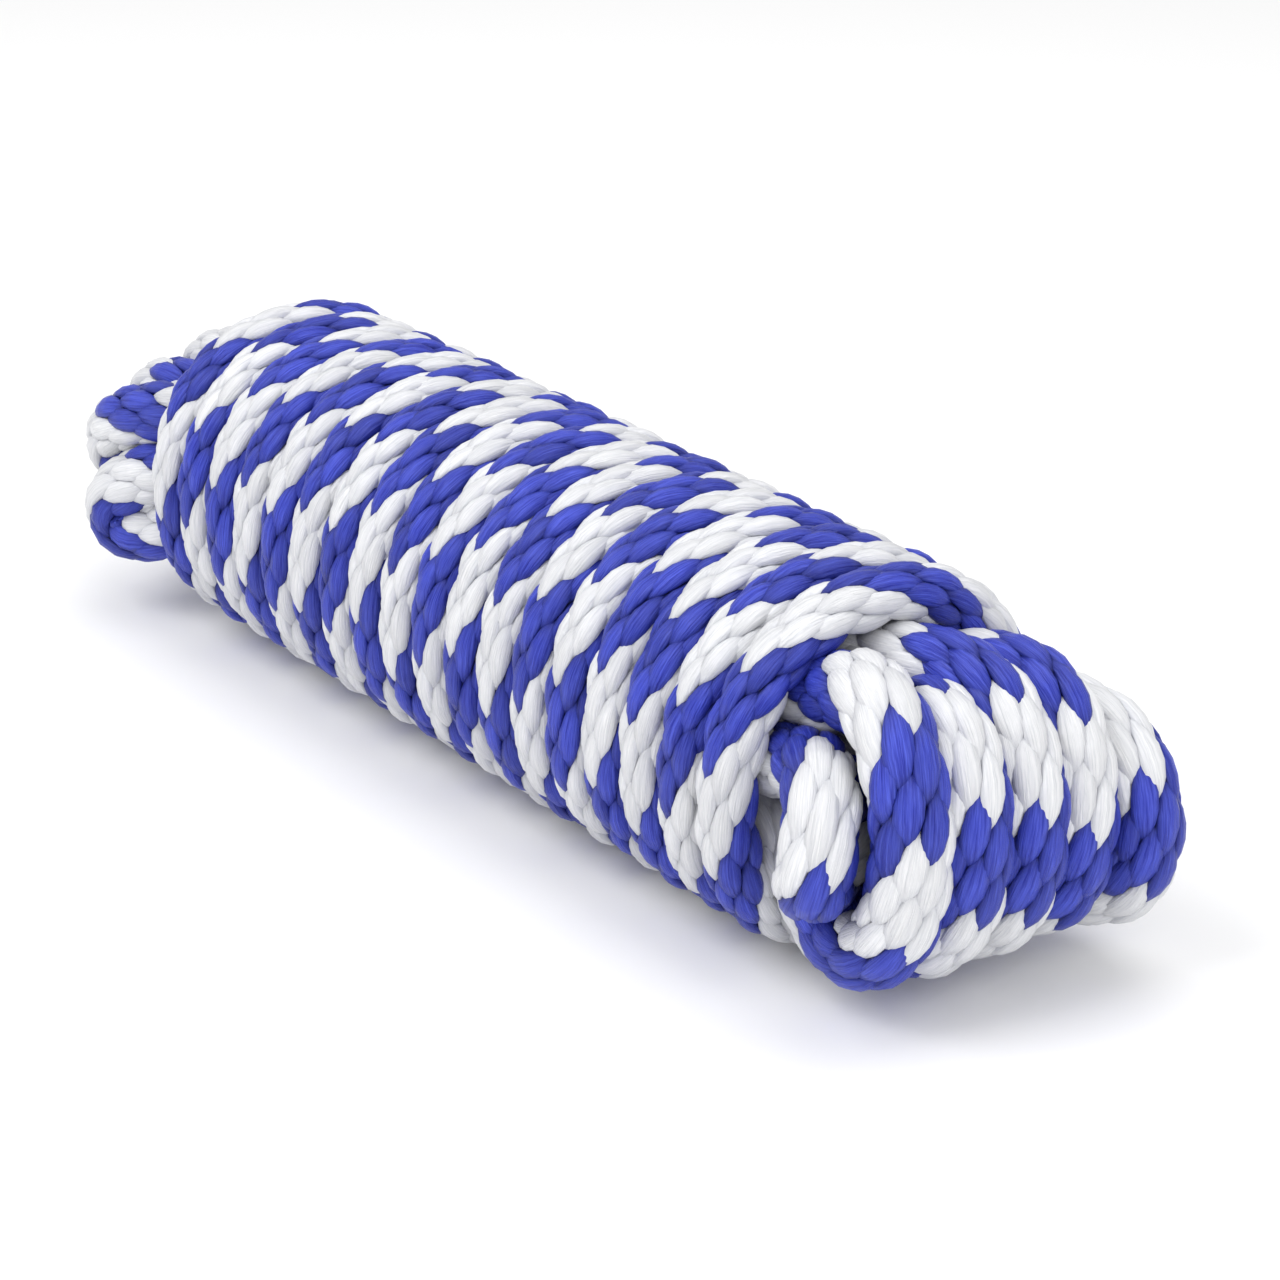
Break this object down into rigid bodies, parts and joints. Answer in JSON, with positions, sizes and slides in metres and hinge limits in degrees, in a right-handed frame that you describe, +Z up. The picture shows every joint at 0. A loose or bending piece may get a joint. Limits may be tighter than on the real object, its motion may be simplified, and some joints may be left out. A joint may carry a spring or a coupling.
{
  "type": "coiled dock line",
  "caption": "Blue and white solid-braid dock line, folded into a bundle and wound round with its own end, with loops standing out at both ends.",
  "frame": {"origin": "middle of the hank's footprint on the surface it lies on", "axes": "+X along the hank, towards the end where the winding finishes and its tail is tucked in; +Z up from the surface"},
  "size_m": [0.248, 0.0648, 0.0628],
  "materials": {
    "rope_blue": "satin",
    "rope_white": "satin",
    "sealed_end": "satin"
  },
  "bodies": {
    "root": {"wrap_turn_01": "rope_blue", "wrap_turn_02": "rope_white", "wrap_turn_03": "rope_blue", "wrap_turn_04": "rope_white", "wrap_turn_05": "rope_blue", "wrap_turn_06": "rope_white", "wrap_turn_07": "rope_blue", "wrap_turn_08": "rope_white", "wrap_turn_09": "rope_blue", "wrap_turn_10": "rope_white", "wrap_turn_11": "rope_blue", "wrap_turn_12": "rope_white", "wrap_turn_13": "rope_blue", "wrap_turn_14": "rope_white", "wrap_turn_15": "rope_blue", "wrap_turn_16": "rope_white", "wrap_turn_17": "rope_blue", "wrap_turn_18": "rope_white", "core_run_01": "rope_white", "core_run_02": "rope_blue", "core_run_03": "rope_white", "core_run_04": "rope_blue", "core_run_05": "rope_white", "core_run_06": "rope_blue", "core_run_07": "rope_white", "core_run_08": "rope_blue", "core_run_09": "rope_white", "core_run_10": "rope_blue", "core_run_11": "rope_white", "core_run_12": "rope_blue", "front_loop_1": "rope_blue", "front_loop_2": "rope_white", "front_loop_3": "rope_blue", "front_loop_4": "rope_white", "front_loop_5": "rope_blue", "front_loop_6": "rope_white", "rear_loop_1": "rope_white", "rear_loop_2": "rope_blue", "rear_loop_3": "rope_white", "rear_loop_4": "rope_blue", "rear_loop_5": "rope_white", "lead_in": "rope_blue", "tucked_tail": "rope_white", "sealed_end_inner": "sealed_end", "sealed_end_outer": "sealed_end"}
  },
  "joints": []
}
